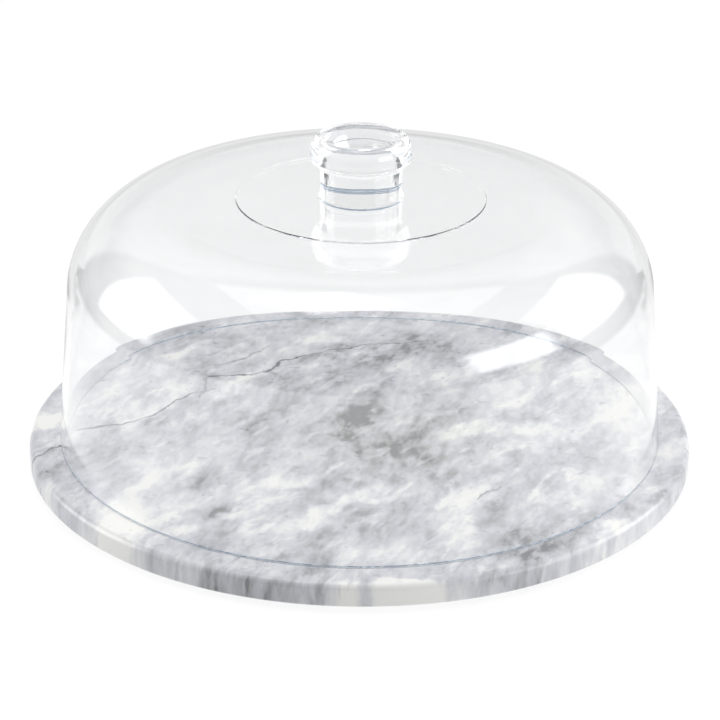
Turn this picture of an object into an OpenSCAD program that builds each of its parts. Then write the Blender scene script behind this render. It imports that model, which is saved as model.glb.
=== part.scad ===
// Cake stand dome: a round marble board on stick-on pads, with a clear dome and knob.
// Millimetres. +Z is up, and the origin is at the centre of the surface that the pads stand on.

/* [Board] */
// Outer diameter of the marble board
board_d = 305; // [290:1:340]
// Thickness of the marble board
board_t = 10.5; // [9:0.5:16]
// Radius of the rounded top edge
board_round = 3.2; // [1:0.1:5]
// Chamfer of the bottom edge
board_ease = 0.8; // [0.4:0.1:2]

/* [Foot pads] */
// Diameter of a foot pad
pad_d = 16; // [10:1:24]
// Height of a foot pad
pad_h = 2.2; // [1.5:0.1:5]
// Radius of the circle that the pads sit on
pad_circle_r = 112; // [80:1:125]

/* [Dome] */
// Outer diameter at the rim
rim_d = 277; // [268:1:294]
// Outer diameter where the wall meets the shoulder
shoulder_d = 265.2; // [240:0.2:268]
// Height of the shoulder's start above the rim
shoulder_h = 73.9; // [50:0.1:90]
// Diameter of the flat top, inside the shoulder
flat_d = 174; // [150:1:200]
// Height of the flat top above the rim
dome_h = 113.2; // [100:0.1:130]
// Wall thickness
wall_t = 2.6; // [2:0.1:4]
// Diameter of the raised disc in the middle of the top
disc_d = 112.4; // [90:0.1:140]
// Height of the raised disc's step
disc_step = 0.7; // [0.4:0.1:1.2]

/* [Knob] */
// Height of the knob above the raised disc
knob_h = 29.2; // [22:0.1:36]
// Largest diameter of the cap
cap_d = 45.4; // [38:0.1:52]
// Diameter of the neck
neck_d = 36.4; // [26:0.1:37]
// Diameter of the foot that is cemented down
foot_d = 38; // [37:0.1:44]

/* [Hidden] */

pad_count = 4;
round_fn = 240;
arc_steps = 24;

board_z = pad_h;
rim_z = board_z + board_t;
disc_z = rim_z + dome_h + disc_step;

// Share of a quarter ellipse's half-axis at which a cubic curve's control point lies.
quarter = 0.5523;

// The wall leans in by this much for each millimetre of height.
draft = (rim_d - shoulder_d) / 2 / shoulder_h;

rim_chamfer = 0.4;
step_ease = 0.25;
bond_t = 0.12;

// Point at t, from 0 to 1, on the cubic curve with control points a, b, c and d.
function cubic(a, b, c, d, t) =
    pow(1 - t, 3) * a + 3 * t * pow(1 - t, 2) * b + 3 * t * t * (1 - t) * c + t * t * t * d;

function cubic_points(a, b, c, d, steps = arc_steps) =
    [for (i = [0 : steps]) cubic(a, b, c, d, i / steps)];

// A round corner of radius r about centre, from angle a0 to angle a1.
function corner(centre, r, a0, a1, steps = 8) =
    [for (i = [0 : steps]) let (a = a0 + (a1 - a0) * i / steps) centre + r * [cos(a), sin(a)]];

// The dome's shoulder, from the top of the wall to the flat top, moved in by inset.
function shoulder_points(inset) =
    let (
        low = [shoulder_d / 2 - inset, shoulder_h],
        high = [flat_d / 2, dome_h - inset],
        rise = high[1] - low[1],
        reach = low[0] - high[0]
    )
    cubic_points(low, low + quarter * rise * [-draft, 1], high + [quarter * reach, 0], high);

function reversed(list) = [for (i = [len(list) - 1 : -1 : 0]) list[i]];

module revolved(points) {
    rotate_extrude($fn = round_fn) polygon(points);
}

module marble_board() {
    r = board_d / 2;
    color("gainsboro")
        translate([0, 0, board_z])
            revolved(concat(
                [[0, 0], [r - board_ease, 0], [r, board_ease]],
                corner([r - board_round, board_t - board_round], board_round, 0, 90),
                [[0, board_t]]
            ));
}

// A low round pad with an eased lower edge, stuck under the board.
module foot_pad(index) {
    r = pad_d / 2;
    ease = 0.6;
    color("whitesmoke")
        rotate([0, 0, 45 + index * 360 / pad_count])
            translate([pad_circle_r, 0, 0])
                rotate_extrude($fn = 96)
                    polygon([[0, 0], [r - ease, 0], [r, ease], [r, pad_h], [0, pad_h]]);
}

// An open-bottomed shell of even thickness, with the raised disc in the middle of its top.
module dome_shell() {
    rim_out = rim_d / 2;
    rim_in = rim_out - wall_t;
    disc_r = disc_d / 2;
    color("aliceblue", 0.4)
        translate([0, 0, rim_z])
            revolved(concat(
                [[rim_in + rim_chamfer, 0], [rim_out - rim_chamfer, 0], [rim_out, rim_chamfer]],
                shoulder_points(0),
                [
                    [disc_r, dome_h],
                    [disc_r, dome_h + disc_step - step_ease],
                    [disc_r - step_ease, dome_h + disc_step],
                    [0, dome_h + disc_step],
                    [0, dome_h - wall_t]
                ],
                reversed(shoulder_points(wall_t)),
                [[rim_in, rim_chamfer]]
            ));
}

// The film of clear cement between the knob's foot and the raised disc.
module knob_bond() {
    color("white", 0.6)
        translate([0, 0, disc_z])
            cylinder(r = foot_d / 2 - 0.3, h = bond_t, $fn = round_fn);
}

// A solid mushroom: a straight neck with a small foot, and a cap that swells out from it and rounds over.
module knob() {
    neck_r = neck_d / 2;
    cap_r = cap_d / 2;
    foot_r = foot_d / 2;
    foot_cut = 0.75;
    cap_low = 0.486 * knob_h;
    cap_widest = 0.678 * knob_h;
    crown = 0.6;
    crown_r = 0.75 * cap_r;
    crown_z = knob_h - crown;
    color("aliceblue", 0.4)
        translate([0, 0, disc_z + bond_t])
            revolved(concat(
                [[0, 0], [foot_r, 0], [foot_r, foot_cut], [neck_r, foot_cut + 0.4]],
                cubic_points(
                    [neck_r, cap_low], [(neck_r + cap_r) / 2, cap_low + 0.02 * knob_h],
                    [cap_r, cap_widest - 0.096 * knob_h], [cap_r, cap_widest]
                ),
                // Each of these curves starts where the one before it ends.
                [for (i = [1 : arc_steps]) cubic(
                    [cap_r, cap_widest], [cap_r, cap_widest + 0.185 * knob_h],
                    [0.93 * cap_r, crown_z - 0.28], [crown_r, crown_z], i / arc_steps
                )],
                [for (i = [1 : 12]) cubic(
                    [crown_r, crown_z], [0.66 * crown_r, knob_h - 0.3 * crown],
                    [0.33 * crown_r, knob_h], [0, knob_h], i / 12
                )]
            ));
}

marble_board();
foot_pad(0);  // foot_pad_1
foot_pad(1);  // foot_pad_2
foot_pad(2);  // foot_pad_3
foot_pad(3);  // foot_pad_4
dome_shell();
knob_bond();
knob();
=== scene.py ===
"""Cake stand dome: a marble board on pads, under a clear acrylic dome with a mushroom knob.

Metres, in the frame of the CAD model. +Z is up and -Y faces the camera.
"""

import math

import bpy
from mathutils import Matrix, Vector


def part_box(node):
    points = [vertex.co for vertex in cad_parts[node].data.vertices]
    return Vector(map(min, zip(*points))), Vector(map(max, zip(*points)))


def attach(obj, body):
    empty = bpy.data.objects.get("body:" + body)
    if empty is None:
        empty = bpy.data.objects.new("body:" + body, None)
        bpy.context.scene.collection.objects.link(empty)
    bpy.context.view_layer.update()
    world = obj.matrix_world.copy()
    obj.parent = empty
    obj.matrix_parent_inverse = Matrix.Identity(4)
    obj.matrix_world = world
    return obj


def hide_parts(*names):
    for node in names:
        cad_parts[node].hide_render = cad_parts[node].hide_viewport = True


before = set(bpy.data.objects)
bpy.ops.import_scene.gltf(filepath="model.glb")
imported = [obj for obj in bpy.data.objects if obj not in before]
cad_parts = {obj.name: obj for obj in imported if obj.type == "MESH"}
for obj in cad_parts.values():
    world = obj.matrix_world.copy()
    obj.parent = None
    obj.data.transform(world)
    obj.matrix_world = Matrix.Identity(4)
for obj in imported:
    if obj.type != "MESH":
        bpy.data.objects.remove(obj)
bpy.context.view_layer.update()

MM = 0.001
TURN = 2 * math.pi

# ---------------------------------------------------------------- sizes from the frame

board_low, board_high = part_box("marble_board")
dome_low, dome_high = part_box("dome_shell")
knob_low, knob_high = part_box("knob")
bond_low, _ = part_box("knob_bond")

# A round CAD solid's mesh is a polygon, so the smaller half-width is the radius that fits in it.
BOARD_R = min(board_high.x, board_high.y, -board_low.x, -board_low.y)
BOARD_Z0, BOARD_Z1 = board_low.z, board_high.z
RIM_Z, DISC_Z = dome_low.z, dome_high.z
RIM_R = 138.5 * MM
KNOB_Z0, KNOB_Z1 = knob_low.z, knob_high.z

# Sizes of the dome and the knob, as in part.scad.
WALL_T = 2.6 * MM
SHOULDER_R = 132.6 * MM
SHOULDER_H = 73.9 * MM
FLAT_R = 87.0 * MM
FLAT_H = 113.2 * MM
DISC_R = 56.2 * MM
FOOT_R = 19.0 * MM
NECK_R = 18.2 * MM
CAP_R = 22.7 * MM
CAP_LOW, CAP_WIDEST = 14.2 * MM, 19.8 * MM

# Share of a quarter ellipse's half-axis at which a cubic curve's control point lies.
QUARTER = 0.5523


def cubic(a, b, c, d, steps):
    """Points on a cubic curve from a to d, both ends included."""
    out = []
    for i in range(steps + 1):
        t = i / steps
        k = ((1 - t) ** 3, 3 * t * (1 - t) ** 2, 3 * t * t * (1 - t), t ** 3)
        out.append(tuple(sum(w * p[j] for w, p in zip(k, (a, b, c, d))) for j in (0, 1)))
    return out


def arc(centre, radius, start, end, steps):
    """Points on a round corner, with its angles in degrees."""
    out = []
    for i in range(steps + 1):
        a = math.radians(start + (end - start) * i / steps)
        out.append((centre[0] + radius * math.cos(a), centre[1] + radius * math.sin(a)))
    return out


def lathe(name, outline, segments, sharp=30):
    """A closed turned mesh. The outline runs from axis to axis, and its solid lies to its left."""
    pts = [outline[0]]
    for p in outline[1:]:
        if math.hypot(p[0] - pts[-1][0], p[1] - pts[-1][1]) > 1e-7:
            pts.append(p)
    verts, rings = [], []
    for r, z in pts:
        if r < 1e-7:
            rings.append([len(verts)])
            verts.append((0, 0, z))
        else:
            start = len(verts)
            for i in range(segments):
                a = TURN * i / segments
                verts.append((r * math.cos(a), r * math.sin(a), z))
            rings.append(list(range(start, start + segments)))
    faces, bands = [], []
    for k, (low, high) in enumerate(zip(rings, rings[1:])):
        for i in range(segments):
            j = (i + 1) % segments
            if len(low) == 1:
                faces.append((low[0], high[j], high[i]))
            elif len(high) == 1:
                faces.append((low[i], low[j], high[0]))
            else:
                faces.append((low[i], low[j], high[j], high[i]))
            bands.append(k)
    mesh = bpy.data.meshes.new(name)
    mesh.from_pydata(verts, [], faces)
    mesh.validate()
    mesh.shade_smooth()
    corners = set()
    for k in range(1, len(pts) - 1):
        ax, az = pts[k][0] - pts[k - 1][0], pts[k][1] - pts[k - 1][1]
        bx, bz = pts[k + 1][0] - pts[k][0], pts[k + 1][1] - pts[k][1]
        turn = math.degrees(abs(math.atan2(ax * bz - az * bx, ax * bx + az * bz)))
        if turn > sharp and len(rings[k]) > 1:
            corners.update(rings[k])
    ring_of = {}
    for k, ring in enumerate(rings):
        for v in ring:
            ring_of[v] = k
    for edge in mesh.edges:
        a, b = edge.vertices
        if a in corners and b in corners and ring_of[a] == ring_of[b]:
            edge.use_edge_sharp = True
    piece = bpy.data.objects.new(name, mesh)
    bpy.context.scene.collection.objects.link(piece)
    return piece, bands, pts


# ---------------------------------------------------------------- materials

class Graph:
    """Short ways to add nodes to a node tree. A value is a number, a tuple or another node's output."""

    def __init__(self, tree):
        self.nodes, self.links = tree.nodes, tree.links

    def give(self, socket, value):
        if isinstance(value, bpy.types.NodeSocket):
            self.links.new(value, socket)
        elif value is not None:
            socket.default_value = value

    def add(self, kind, **settings):
        node = self.nodes.new(kind)
        for name, value in settings.items():
            setattr(node, name, value)
        return node

    def place(self):
        """The point being shaded, in metres in the CAD frame."""
        return self.add("ShaderNodeTexCoord").outputs["Object"]

    def maths(self, kind, a, b=None):
        node = self.add("ShaderNodeMath", operation=kind)
        self.give(node.inputs[0], a)
        self.give(node.inputs[1], b)
        return node.outputs[0]

    def vector(self, kind, a, b=None, scale=None):
        node = self.add("ShaderNodeVectorMath", operation=kind)
        self.give(node.inputs[0], a)
        self.give(node.inputs[1], b)
        if scale is not None:
            self.give(node.inputs["Scale"], scale)
        return node.outputs["Value" if kind in ("LENGTH", "DOT_PRODUCT") else "Vector"]

    def smooth(self, value, low, high, first=0.0, last=1.0):
        """A soft step that goes from first, at low, to last, at high."""
        node = self.add("ShaderNodeMapRange", interpolation_type="SMOOTHSTEP")
        for name, given in (("Value", value), ("From Min", low), ("From Max", high),
                            ("To Min", first), ("To Max", last)):
            self.give(node.inputs[name], given)
        return node.outputs[0]

    def noise(self, where, size, detail=4.0, roughness=0.5, distortion=0.0, shift=0.0):
        """Noise of about 0 to 1 whose blots measure about size metres. Gives its value and its colour."""
        node = self.add("ShaderNodeTexNoise")
        moved = self.vector("ADD", where, (shift, 0.37 * shift, 0.71 * shift))
        for name, given in (("Vector", moved), ("Scale", 1 / size), ("Detail", detail),
                            ("Roughness", roughness), ("Distortion", distortion)):
            self.give(node.inputs[name], given)
        return node.outputs[0], node.outputs["Color"]

    def mix(self, factor, a, b, blend="MIX"):
        """A colour that is a where the factor is 0 and b where it is 1."""
        node = self.add("ShaderNodeMix", data_type="RGBA", blend_type=blend)
        self.give(node.inputs["Factor"], factor)
        self.give(node.inputs["A"], a)
        self.give(node.inputs["B"], b)
        return node.outputs["Result"]

    def ramp(self, value, stops):
        node = self.add("ShaderNodeValToRGB")
        points = node.color_ramp.elements
        while len(points) < len(stops):
            points.new(0.5)
        for point, (position, colour) in zip(points, stops):
            point.position = position
            point.color = (*colour, 1)
        self.give(node.inputs[0], value)
        return node.outputs[0]

    def bump(self, height, depth, strength=1.0):
        node = self.add("ShaderNodeBump")
        for name, given in (("Height", height), ("Distance", depth), ("Strength", strength)):
            self.give(node.inputs[name], given)
        return node.outputs[0]


def material(name):
    mat = bpy.data.materials.new(name)
    mat.use_nodes = True
    return mat, Graph(mat.node_tree), mat.node_tree.nodes["Principled BSDF"]


def acrylic():
    """Clear cast acrylic: faint waves from its moulding, and a polish that is a little uneven."""
    mat, graph, shader = material("clear_acrylic")
    shader.inputs["Base Color"].default_value = (0.990, 0.994, 0.996, 1)
    shader.inputs["IOR"].default_value = 1.49
    shader.inputs["Transmission Weight"].default_value = 1.0
    haze, _ = graph.noise(graph.place(), 22 * MM, detail=5, roughness=0.6)
    graph.give(shader.inputs["Roughness"], graph.smooth(haze, 0.35, 0.75, 0.0, 0.025))
    wave, _ = graph.noise(graph.place(), 45 * MM, detail=1, shift=3.0)
    graph.give(shader.inputs["Normal"], graph.bump(wave, 0.10 * MM, 0.5))
    return mat


def sawn_acrylic_painted_shade():
    """The sawn edges of the rim and of the knob's foot: the same acrylic, roughened by saw marks, and painted
    a dark blue grey as painted shade for the dark line that a lit clear edge shows.
    """
    mat, graph, shader = material("sawn_acrylic_painted_shade")
    marks, _ = graph.noise(graph.vector("MULTIPLY", graph.place(), (1, 1, 12)), 3 * MM, detail=6, shift=5.0)
    # Painted shade: the dark blue grey stands in for the dark line at the clear edge. The saw marks only vary
    # it.
    painted_edge_shade = graph.mix(graph.smooth(marks, 0.35, 0.65), (0.20, 0.27, 0.36, 1), (0.34, 0.42, 0.50, 1))
    graph.give(shader.inputs["Base Color"], painted_edge_shade)
    graph.give(shader.inputs["Roughness"], graph.smooth(marks, 0.3, 0.7, 0.18, 0.34))
    graph.give(shader.inputs["Normal"], graph.bump(marks, 0.05 * MM, 0.4))
    shader.inputs["IOR"].default_value = 1.49
    shader.inputs["Transmission Weight"].default_value = 0.45
    return mat


def cement():
    """Clear cement, too thin to bend light. Small bubbles show where it didn't quite fill the joint."""
    mat = bpy.data.materials.new("clear_cement")
    mat.use_nodes = True
    graph = Graph(mat.node_tree)
    graph.nodes.clear()
    bubbles = graph.add("ShaderNodeTexVoronoi", feature="F1")
    graph.give(bubbles.inputs["Vector"], graph.place())
    graph.give(bubbles.inputs["Scale"], 1 / (4 * MM))
    solid = graph.smooth(bubbles.outputs["Distance"], 0.03, 0.07)
    clear = graph.add("ShaderNodeBsdfTransparent")
    graph.give(clear.inputs["Color"], graph.mix(solid, (0.85, 0.88, 0.91, 1), (0.997, 0.998, 1.0, 1)))
    out = graph.add("ShaderNodeOutputMaterial")
    graph.give(out.inputs["Surface"], clear.outputs[0])
    return mat


def silicone():
    """Clear soft silicone, frosted, with a little dust on it."""
    mat, graph, shader = material("silicone")
    dust, _ = graph.noise(graph.place(), 1.2 * MM, detail=6, roughness=0.7)
    cloudy, _ = graph.noise(graph.place(), 9 * MM, detail=3, shift=2.0)
    base = graph.mix(graph.smooth(cloudy, 0.3, 0.7), (0.74, 0.76, 0.77, 1), (0.84, 0.85, 0.85, 1))
    base = graph.mix(graph.smooth(dust, 0.60, 0.74, 0.0, 0.6), base, (0.55, 0.54, 0.52, 1))
    graph.give(shader.inputs["Base Color"], base)
    graph.give(shader.inputs["Roughness"], graph.smooth(dust, 0.3, 0.7, 0.38, 0.60))
    graph.give(shader.inputs["Normal"], graph.bump(dust, 0.04 * MM, 0.5))
    shader.inputs["IOR"].default_value = 1.41
    shader.inputs["Transmission Weight"].default_value = 0.35
    return mat


# Marble. Each cloud is its centre's x and y, its half-length, half-width and heading in degrees, and how
# much lighter, or darker where it is below 0, it makes the stone. Lengths are in millimetres. The clouds
# and the cracks were placed to follow the photographed slab.
CLOUDS = (
    (-92, -76, 40, 20, 75, 0.55), (-104, -110, 24, 14, 130, 0.6), (-52, -90, 34, 5, 44, 0.30),
    (-24, -92, 42, 6, 46, 0.36), (-33, -57, 15, 7, 35, 0.36), (-7, -31, 13, 8, 80, 0.34),
    (0, -72, 18, 7, 30, 0.32), (45, -86, 30, 11, 75, 0.40), (62, -2, 28, 9, 20, 0.36),
    (112, -50, 40, 20, 60, 0.20), (128, 22, 34, 16, 95, 0.40), (20, -152, 30, 8, 3, 0.60),
    (-106, 36, 38, 24, 40, 0.22), (92, 42, 46, 28, 30, 0.16), (-150, 8, 10, 13, 90, 0.50),
    (120, -94, 36, 10, 50, 0.30), (-60, 43, 17, 8, 40, 0.26), (-84, 84, 20, 9, 40, 0.20),
    (10, -8, 44, 30, 60, -0.24), (-50, -12, 42, 20, 50, -0.06), (18, 92, 56, 24, 12, -0.16),
    (-145, -32, 12, 25, 5, -0.14), (-58, -147, 42, 12, -20, -0.26), (-50, -156, 40, 9, -18, -0.5),
    (62, -118, 28, 20, 20, -0.14), (8, -104, 32, 12, 30, -0.10), (80, -142, 26, 8, 28, -0.22),
    (144, -38, 12, 32, -12, -0.02), (-60, 100, 34, 18, 30, -0.10),
    # The clouds from (-5, 15) on were added later to set the slab's tone place by place: most of the darker
    # ones lie in its front half, and the lighter ones lie along its left, right and back edges as well as
    # within it.
    (-5, 15, 10, 15, 0, -0.4), (-80, -65, 20, 15, 70, -0.3), (-65, -90, 15, 8, 45, -0.2),
    (-40, -110, 20, 8, 60, -0.3), (-75, -140, 15, 8, -30, -0.3), (-45, -155, 35, 8, -10, -0.5),
    (-95, -115, 5, 10, 60, -0.4), (55, -150, 10, 15, 0, -0.4), (80, -125, 15, 12, 30, -0.2),
    (110, -75, 20, 10, 55, -0.2), (90, -60, 12, 15, 0, -0.2), (-25, 75, 20, 8, 20, -0.2),
    (45, -10, 12, 8, 20, -0.2), (-100, -10, 15, 10, 60, 0.3), (-15, 115, 45, 10, 10, 0.25),
    (-150, 5, 8, 25, 0, 0.2), (-140, -60, 8, 15, 20, 0.25), (140, -35, 8, 35, -10, 0.2),
    (-10, -65, 15, 8, 60, 0.25), (-45, -30, 12, 10, 60, 0.2), (105, -10, 35, 20, 30, 0.15),
    (75, -70, 15, 10, 50, 0.25), (40, -110, 15, 8, 30, 0.15), (30, -150, 30, 6, 10, 0.15),
)
# Dark crack lines, as places that each passes through, in millimetres, from its thick end to its thin one.
CRACKS = (
    (0.80, ((-148, -36), (-143, -31), (-137, -22))),
    (0.75, ((-131, -6), (-109, 1), (-98, 10), (-86, 28), (-79, 36), (-70, 41))),
    (0.80, ((-74, 50), (-63, 53), (-53, 54), (-43, 63), (-38, 74), (-17, 88), (2, 96), (34, 102))),
    (0.45, ((-70, 66), (-56, 76), (-46, 92))),
    (0.55, ((50, -72), (57, -65), (62, -61))),
    (0.45, ((-76, 32), (-74, 50))),
)


def drawn_out(graph, where, degrees, along, across):
    """Coordinates turned so that noise read with them is drawn out along a heading."""
    node = graph.add("ShaderNodeVectorRotate", rotation_type="Z_AXIS")
    graph.give(node.inputs["Vector"], where)
    graph.give(node.inputs["Angle"], math.radians(-degrees))
    return graph.vector("MULTIPLY", node.outputs[0], (along, across, 1))


def marble():
    mat, graph, shader = material("marble")
    place = graph.place()
    # The slab was sawn across its bands, so they run nearly straight down through its edge.
    flat = graph.vector("MULTIPLY", place, (1, 1, 0.25))
    _, wander = graph.noise(flat, 0.034, detail=3)
    _, ripple = graph.noise(flat, 0.009, detail=4, roughness=0.6, shift=0.5)
    wander = graph.vector("SCALE", graph.vector("SUBTRACT", wander, (0.5, 0.5, 0.5)), scale=0.034)
    ripple = graph.vector("SCALE", graph.vector("SUBTRACT", ripple, (0.5, 0.5, 0.5)), scale=0.013)
    bent = graph.vector("ADD", graph.vector("ADD", flat, wander), ripple)

    mist, _ = graph.noise(drawn_out(graph, flat, 68, 0.55, 1.2), 24 * MM, detail=6, roughness=0.6,
                          distortion=0.2)
    wisps, _ = graph.noise(drawn_out(graph, flat, 56, 0.45, 1.2), 11 * MM, detail=5, roughness=0.58,
                           distortion=0.4, shift=2.0)
    blots, _ = graph.noise(drawn_out(graph, flat, 80, 0.6, 1.1), 5 * MM, detail=4, roughness=0.58, shift=4.0)

    tone = graph.smooth(mist, 0.36, 0.64, 0.22, 0.66)
    tone = graph.maths("ADD", tone, graph.smooth(wisps, 0.53, 0.63, 0.0, 0.24))
    for x, y, half_long, half_wide, heading, lighter in CLOUDS:
        spot = graph.add("ShaderNodeMapping", vector_type="TEXTURE")
        graph.give(spot.inputs["Vector"], graph.vector("MULTIPLY", bent, (1, 1, 0)))
        graph.give(spot.inputs["Location"], (x * MM, y * MM, 0))
        graph.give(spot.inputs["Rotation"], (0, 0, math.radians(heading)))
        graph.give(spot.inputs["Scale"], (half_long * MM, half_wide * MM, 1))
        away = graph.vector("LENGTH", spot.outputs[0])
        tone = graph.maths("ADD", tone, graph.smooth(away, 0.45, 1.25, lighter, 0.0))
    tone = graph.maths("ADD", tone, graph.smooth(blots, 0.34, 0.66, -0.13, 0.13))
    colour = graph.ramp(tone, MARBLE_TONES)

    # A warmer, greener grey in the middle of the slab.
    middle = graph.vector("LENGTH", graph.vector("SUBTRACT", bent, (18 * MM, -8 * MM, 0)))
    warm = graph.smooth(middle, 20 * MM, 62 * MM, 0.75, 0.0)
    colour = graph.mix(warm, colour, graph.mix(1.0, colour, MARBLE_WARM, "MULTIPLY"))

    _, shake = graph.noise(flat, 0.012, detail=6, roughness=0.65, shift=7.0)
    shake = graph.vector("SCALE", graph.vector("SUBTRACT", shake, (0.5, 0.5, 0.5)), scale=0.011)
    shaken = graph.vector("MULTIPLY", graph.vector("ADD", flat, shake), (1, 1, 0))
    patchy, _ = graph.noise(flat, 0.010, detail=3, shift=9.0)
    dark = None
    for depth, places in CRACKS:
        count = len(places) - 1
        for i, (start, end) in enumerate(zip(places, places[1:])):
            a = Vector((start[0] * MM, start[1] * MM, 0))
            b = Vector((end[0] * MM, end[1] * MM, 0))
            run = b - a
            from_a = graph.vector("SUBTRACT", shaken, tuple(a))
            along = graph.vector("DOT_PRODUCT", from_a, tuple(run / run.length_squared))
            along = graph.maths("MINIMUM", graph.maths("MAXIMUM", along, 0.0), 1.0)
            away = graph.vector("LENGTH", graph.vector("SUBTRACT", from_a,
                                                       graph.vector("SCALE", tuple(run), scale=along)))
            half_width = CRACK_HALF * (1 - 0.4 * i / count)
            line = graph.smooth(away, 0.4 * half_width, 1.3 * half_width, depth, 0.0)
            dark = line if dark is None else graph.maths("MAXIMUM", dark, line)
    dark = graph.maths("MULTIPLY", dark, graph.smooth(patchy, 0.3, 0.55, 0.55, 1.0))
    specks = graph.add("ShaderNodeTexVoronoi", feature="F1")
    graph.give(specks.inputs["Vector"], bent)
    graph.give(specks.inputs["Scale"], 1 / 0.021)
    sparse, _ = graph.noise(flat, 0.030, detail=1, shift=12.0)
    dots = graph.smooth(specks.outputs["Distance"], 0.018, 0.045, 0.6, 0.0)
    dots = graph.maths("MULTIPLY", dots, graph.smooth(sparse, 0.60, 0.66))
    dark = graph.maths("MAXIMUM", dark, dots)
    colour = graph.mix(dark, colour, MARBLE_DARK)
    graph.give(shader.inputs["Base Color"], colour)

    polish, _ = graph.noise(flat, 0.006, detail=4, shift=15.0)
    graph.give(shader.inputs["Roughness"], graph.smooth(polish, 0.2, 0.8, 0.26, 0.36))
    pits = graph.maths("SUBTRACT", graph.maths("MULTIPLY", polish, 0.2), dark)
    graph.give(shader.inputs["Normal"], graph.bump(pits, 0.12 * MM, 0.5))
    shader.inputs["IOR"].default_value = 1.48
    return mat


MARBLE_TONES = (
    (0.00, (0.195, 0.200, 0.208)), (0.20, (0.345, 0.349, 0.366)), (0.42, (0.446, 0.453, 0.489)),
    (0.62, (0.525, 0.530, 0.552)), (0.80, (0.610, 0.612, 0.618)), (1.00, (0.690, 0.690, 0.672)),
)
MARBLE_WARM = (0.985, 1.0, 0.945, 1)
MARBLE_DARK = (0.075, 0.080, 0.095, 1)
CRACK_HALF = 0.75 * MM


ACRYLIC, SAWN_PAINTED_SHADE, CEMENT = acrylic(), sawn_acrylic_painted_shade(), cement()
MARBLE, SILICONE = marble(), silicone()

# ---------------------------------------------------------------- board

ROUND, EASE = 3.2 * MM, 0.8 * MM
outline = [(0, BOARD_Z0), (BOARD_R - EASE, BOARD_Z0), (BOARD_R, BOARD_Z0 + EASE)]
outline += arc((BOARD_R - ROUND, BOARD_Z1 - ROUND), ROUND, 0, 90, 12)
outline += [(0, BOARD_Z1)]
board, _, _ = lathe("board_slab", outline, 360)
board.data.materials.append(MARBLE)
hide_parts("marble_board")
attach(board, "board")

# ---------------------------------------------------------------- foot pads

pad_names = sorted(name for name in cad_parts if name.startswith("foot_pad_"))
for name in pad_names:
    low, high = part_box(name)
    centre, radius = (low + high) / 2, (high.x - low.x) / 2
    height, ease = high.z - low.z, 0.6 * MM
    outline = [(0, 0.25 * MM), (0.55 * radius, 0.25 * MM), (0.62 * radius, 0)]
    outline += arc((radius - ease - 0.2 * MM, ease), ease, -90, 0, 5)
    outline += cubic((radius - 0.2 * MM, ease), (radius - 0.2 * MM, 0.6 * height),
                     (radius - 0.05 * MM, 0.7 * height), (radius, height), 6)
    outline += [(0, height)]
    pad, _, _ = lathe(name + "_moulding", outline, 64)
    pad.data.transform(Matrix.Translation((centre.x, centre.y, low.z)))
    pad.data.materials.append(SILICONE)
    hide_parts(name)
    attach(pad, "board")

# ---------------------------------------------------------------- dome

def shoulder(inset, steps=40):
    """The dome's curve from the top of its wall to its flat top, moved in by inset."""
    low = (SHOULDER_R - inset, RIM_Z + SHOULDER_H)
    high = (FLAT_R, RIM_Z + FLAT_H - inset)
    draft = (RIM_R - SHOULDER_R) / SHOULDER_H
    rise, reach = high[1] - low[1], low[0] - high[0]
    return cubic(low, (low[0] - QUARTER * rise * draft, low[1] + QUARTER * rise),
                 (high[0] + QUARTER * reach, high[1]), high, steps)


STEP_EASE = 0.25 * MM
RIM_EASE = 0.4 * MM
flat_z = RIM_Z + FLAT_H
outline = [(0, flat_z - WALL_T)]
outline += list(reversed(shoulder(WALL_T)))
outline += [(RIM_R - WALL_T, RIM_Z + RIM_EASE), (RIM_R - WALL_T + RIM_EASE, RIM_Z),
            (RIM_R - RIM_EASE, RIM_Z), (RIM_R, RIM_Z + RIM_EASE)]
outline += shoulder(0)
outline += [(DISC_R, flat_z), (DISC_R, DISC_Z - STEP_EASE), (DISC_R - STEP_EASE, DISC_Z),
            (0, DISC_Z)]
dome, bands, pts = lathe("dome", outline, 360)
for mat in (ACRYLIC, SAWN_PAINTED_SHADE):
    dome.data.materials.append(mat)
# The rim's faces take the sawn acrylic with its painted dark edge shade.
for face, band in zip(dome.data.polygons, bands):
    top = max(pts[band][1], pts[band + 1][1])
    face.material_index = 1 if top < RIM_Z + 1.01 * RIM_EASE else 0
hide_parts("dome_shell")
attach(dome, "dome")

# ---------------------------------------------------------------- knob

KNOB_H = KNOB_Z1 - KNOB_Z0
CROWN_R, CROWN_H = 17.0 * MM, 0.6 * MM
crown_z = KNOB_H - CROWN_H
FOOT_CUT = 0.75 * MM
# The outline's second and third bands are the foot's sawn edge.
CUT_BANDS = (1, 2)
# The cement has fused with the knob, so the knob's clear body reaches down round it to the disc.
sole = bond_low.z + 0.01 * MM - KNOB_Z0
outline = [(0, sole), (FOOT_R - 0.25 * MM, sole), (FOOT_R, 0.15 * MM), (FOOT_R, FOOT_CUT),
           (NECK_R, FOOT_CUT + 0.4 * MM), (NECK_R, CAP_LOW)]
outline += cubic((NECK_R, CAP_LOW), ((NECK_R + CAP_R) / 2, CAP_LOW + 0.6 * MM),
                 (CAP_R, CAP_WIDEST - 2.8 * MM), (CAP_R, CAP_WIDEST), 24)
outline += cubic((CAP_R, CAP_WIDEST), (CAP_R, CAP_WIDEST + 5.4 * MM),
                 (0.93 * CAP_R, crown_z - 0.28 * MM), (CROWN_R, crown_z), 30)
outline += cubic((CROWN_R, crown_z), (0.66 * CROWN_R, KNOB_H - 0.3 * CROWN_H),
                 (0.33 * CROWN_R, KNOB_H), (0, KNOB_H), 12)
outline = [(r, KNOB_Z0 + z) for r, z in outline]
knob, bands, pts = lathe("knob_turned", outline, 256)
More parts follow.
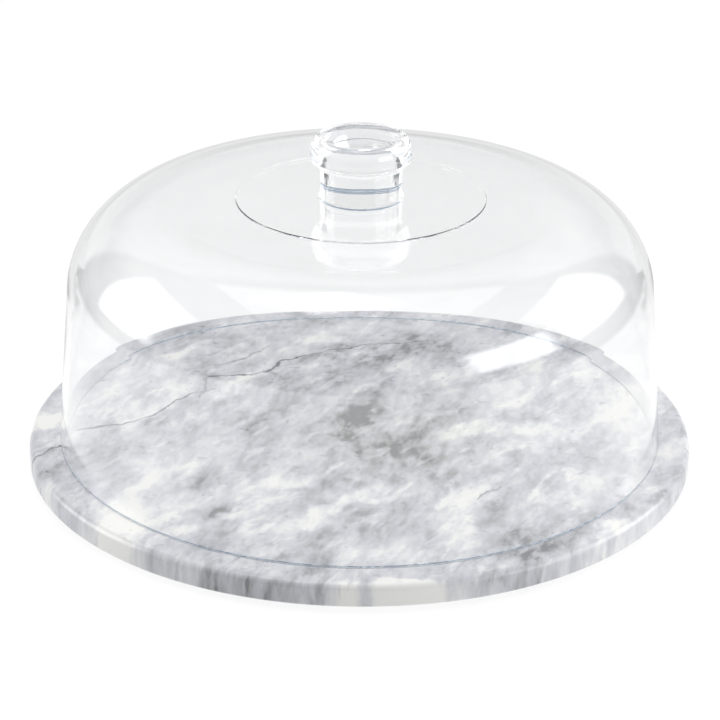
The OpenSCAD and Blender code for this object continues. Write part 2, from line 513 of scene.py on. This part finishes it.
for mat in (ACRYLIC, SAWN_PAINTED_SHADE):
    knob.data.materials.append(mat)
# The foot's sawn bands take the sawn acrylic with its painted dark edge shade.
for face, band in zip(knob.data.polygons, bands):
    face.material_index = 1 if band in CUT_BANDS else 0
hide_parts("knob")
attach(knob, "dome")
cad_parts["knob_bond"].data.materials.clear()
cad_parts["knob_bond"].data.materials.append(CEMENT)

# Path tracing barely finds the light that clear pieces bend, so they cast no shadow instead.
for piece in (dome, knob):
    piece.visible_shadow = False
    piece.visible_diffuse = False

# ---------------------------------------------------------------- stage

# The stage isn't a physical room. Its world and floor give each ray a light by its history, so that the
# clear pieces show the photograph's soft greys and thin dark lines against a white background.
WHITE, ROOM = (1, 1, 1, 1), (0.05, 0.055, 0.06, 1)
GAP, SIDES = (0.012, 0.016, 0.024, 1), (0.84, 0.85, 0.86, 1)
# From and to how far out in metres, and between which azimuths in degrees, the floor's gap reaches. A test
# render showed where the knob's rays land, and the gap was laid there to give the photograph's streaks.
GAP_STRETCHES = (
    (0.238, 0.275, 44, 60), (0.263, 0.300, 41.5, 60), (0.288, 0.340, 39, 60),
    (0.328, 0.372, 43, 50), (0.360, 0.850, 40, 62),
)


def grey(value):
    return (value, value, value, 1)


# What a ray sees once it was mirrored twice or went through the cement, and once it was scattered.
ECHO, AMBIENT = grey(0.8), grey(0.36)


def rays(graph):
    """What a ray went through: four factors that are 1 once it was mirrored, mirrored twice, scattered, or
    only bent by the clear pieces."""
    path = graph.add("ShaderNodeLightPath").outputs
    mirrored = graph.maths("GREATER_THAN", path["Glossy Depth"], 0.5)
    twice = graph.maths("GREATER_THAN", path["Glossy Depth"], 1.5)
    scattered = graph.maths("GREATER_THAN", path["Diffuse Depth"], 0.5)
    through = graph.maths("GREATER_THAN", path["Transmission Depth"], 0.5)
    bent = graph.maths("MULTIPLY", through, graph.maths("SUBTRACT", 1.0, mirrored))
    return mirrored, twice, scattered, bent


def off_middle(graph, x, y):
    """The azimuth of a way or a place seen from the object, off the backdrop's middle."""
    return graph.maths("ABSOLUTE", graph.maths("ARCTAN2", x, y))


def within(graph, value, low, high, soft):
    """1 where the value lies between low and high, and 0 outside, with soft edges."""
    rise = graph.smooth(value, low, low + soft)
    fall = graph.smooth(value, high - soft, high)
    return graph.maths("SUBTRACT", rise, fall)


world = bpy.data.worlds.new("studio")
bpy.context.scene.world = world
world.use_nodes = True
graph = Graph(world.node_tree)
split = graph.add("ShaderNodeSeparateXYZ")
graph.give(split.inputs[0], graph.add("ShaderNodeTexCoord").outputs["Generated"])
azimuth = off_middle(graph, split.outputs["X"], split.outputs["Y"])
past = graph.smooth(azimuth, math.radians(45), math.radians(48))
# A mirrored ray sees a dark room with a bright backdrop behind the object, which fades as it rises.
side = graph.smooth(azimuth, math.radians(42), math.radians(37))
height = graph.smooth(split.outputs["Z"], math.sin(math.radians(55)), math.sin(math.radians(46)))
fade = graph.smooth(split.outputs["Z"], 0, 0.3)
backdrop = graph.mix(fade, grey(0.85), grey(0.53))
studio = graph.mix(graph.maths("MULTIPLY", side, height), ROOM, backdrop)
mirrored, twice, scattered, bent = rays(graph)
studio = graph.mix(twice, studio, ECHO)
# Only the cement is a transparent surface, so this is 1 for a ray that went through it.
crossed = graph.maths("GREATER_THAN", graph.add("ShaderNodeLightPath").outputs["Transparent Depth"], 0.5)
studio = graph.mix(crossed, studio, ECHO)
straight = graph.mix(graph.maths("MULTIPLY", bent, past), WHITE, SIDES)
seen = graph.mix(mirrored, straight, studio)
graph.give(graph.nodes["Background"].inputs["Color"], graph.mix(scattered, seen, AMBIENT))

FLOOR_HALF = 6.0
mesh = bpy.data.meshes.new("floor")
corners = [(x * FLOOR_HALF, y * FLOOR_HALF, 0) for x, y in ((-1, -1), (1, -1), (1, 1), (-1, 1))]
mesh.from_pydata(corners, [], [(0, 1, 2, 3)])
floor = bpy.data.objects.new("floor", mesh)
bpy.context.scene.collection.objects.link(floor)
mat, graph, shader = material("floor")
shader.inputs["Roughness"].default_value = 0.9
shader.inputs["Specular IOR Level"].default_value = 0.0
split = graph.add("ShaderNodeSeparateXYZ")
graph.give(split.inputs[0], graph.place())
x, y = split.outputs["X"], split.outputs["Y"]
azimuth = off_middle(graph, x, y)
# For a ray mirrored once, the floor is dark beside the object, past 0.52 m and wider far behind it, and
# dark near the camera.
across = graph.maths("ABSOLUTE", x)
beyond = graph.maths("SUBTRACT", across, graph.maths("MAXIMUM", graph.maths("MULTIPLY", y, 0.9), 0.52))
beside = graph.smooth(beyond, -0.04, 0.04)
before = graph.smooth(y, -0.6, -0.7)
mirrored, twice, scattered, bent = rays(graph)
once = graph.maths("SUBTRACT", mirrored, twice)
dark = graph.maths("MULTIPLY", graph.maths("MAXIMUM", beside, before), once)
from_middle = graph.vector("LENGTH", graph.place())
# The dark gap, which makes the knob's streaks, runs out from the object at each side.
gap = None
for low, high, first, last in GAP_STRETCHES:
    turned = within(graph, azimuth, math.radians(first), math.radians(last), math.radians(2))
    stretch = graph.maths("MULTIPLY", within(graph, from_middle, low, high, 0.012), turned)
    gap = stretch if gap is None else graph.maths("MAXIMUM", gap, stretch)
gap = graph.maths("MULTIPLY", gap, bent)
past = graph.maths("MULTIPLY", graph.smooth(azimuth, math.radians(45), math.radians(48)),
                   graph.smooth(from_middle, 0.22, 0.25))
past = graph.maths("MULTIPLY", past, bent)
behind = graph.maths("MULTIPLY", graph.smooth(y, 0.08, 0.25, 0.0, 0.25), mirrored)
glow = graph.mix(behind, WHITE, ROOM)
glow = graph.mix(dark, glow, ROOM)
glow = graph.mix(past, glow, SIDES)
glow = graph.mix(gap, glow, GAP)
graph.give(shader.inputs["Emission Color"], glow)
dull = graph.maths("MAXIMUM", dark, gap)
graph.give(shader.inputs["Base Color"], graph.mix(dull, grey(0.12), grey(0.02)))
shader.inputs["Emission Strength"].default_value = 0.88
mesh.materials.append(mat)

AIM = Vector((0, 0, 0.1))


def softbox(name, azimuth, elevation, half_wide, half_high, distance=1.3, radiance=5.0, soft=0.18):
    """A rectangular light that faces the object and fades over the outer part, soft, of each side.
    Azimuth 0 is at the camera and 90 at its right."""
    a, e = math.radians(azimuth), math.radians(elevation)
    way = Vector((math.sin(a) * math.cos(e), -math.cos(a) * math.cos(e), math.sin(e)))
    light = bpy.data.lights.new(name, "AREA")
    light.shape = "RECTANGLE"
    light.size = 2 * distance * math.tan(math.radians(half_wide))
    light.size_y = 2 * distance * math.tan(math.radians(half_high))
    light.energy = radiance * math.pi * light.size * light.size_y
    light.use_nodes = True
    graph = Graph(light.node_tree)
    split = graph.add("ShaderNodeSeparateXYZ")
    graph.give(split.inputs[0], graph.add("ShaderNodeNewGeometry").outputs["Parametric"])
    fade_x = within(graph, split.outputs["X"], 0, 1, soft)
    fade_y = within(graph, split.outputs["Y"], 0, 1, soft)
    graph.give(graph.nodes["Emission"].inputs["Strength"], graph.maths("MULTIPLY", fade_x, fade_y))
    lamp = bpy.data.objects.new(name, light)
    lamp.location = AIM + way * distance
    lamp.rotation_mode = "QUATERNION"
    lamp.rotation_quaternion = (-way).to_track_quat("-Z", "Y")
    lamp.visible_camera = False
    bpy.context.scene.collection.objects.link(lamp)
    return lamp


softbox("left_box", -98, 20, 18.5, 22)
softbox("right_box", 102, 24, 20, 21)
softbox("front_box", 58, 15.5, 20, 12.5)
softbox("top_box", -143, 78.7, 14, 12)
# A weak light over the object that fills the marble's top. Hiding it from mirrored and bent rays doesn't
# hide it fully: its image still shows as a pale shape with straight sides in the dome's front shoulder.
fill = softbox("fill_box", 0, 90, 26.5, 26.5, distance=2.0, radiance=1.6)
fill.visible_glossy = False
fill.visible_transmission = False

# ---------------------------------------------------------------- camera

camera = bpy.data.cameras.new("camera")
camera.sensor_width = 36
camera.lens = 131.75
camera.clip_start, camera.clip_end = 0.05, 30
eye = bpy.data.objects.new("camera", camera)
DISTANCE, HIGH, AXIS, ROLL = 1.22585, math.radians(25.57), math.radians(24.139), math.radians(0.37)
eye.location = (0, -DISTANCE * math.cos(HIGH), BOARD_Z1 + DISTANCE * math.sin(HIGH))
ahead = Vector((0, math.cos(AXIS), -math.sin(AXIS)))
eye.rotation_mode = "QUATERNION"
eye.rotation_quaternion = ahead.to_track_quat("-Z", "Y") @ Matrix.Rotation(ROLL, 4, "Z").to_quaternion()
bpy.context.scene.collection.objects.link(eye)
bpy.context.scene.camera = eye

# A ray is mirrored many times inside the knob, and would end black if it were stopped early.
scene = bpy.context.scene
scene.view_settings.view_transform = "Standard"
scene.view_settings.look = "None"
scene.cycles.max_bounces = 40
scene.cycles.glossy_bounces = 30
scene.cycles.transmission_bounces = 30
scene.cycles.transparent_max_bounces = 16
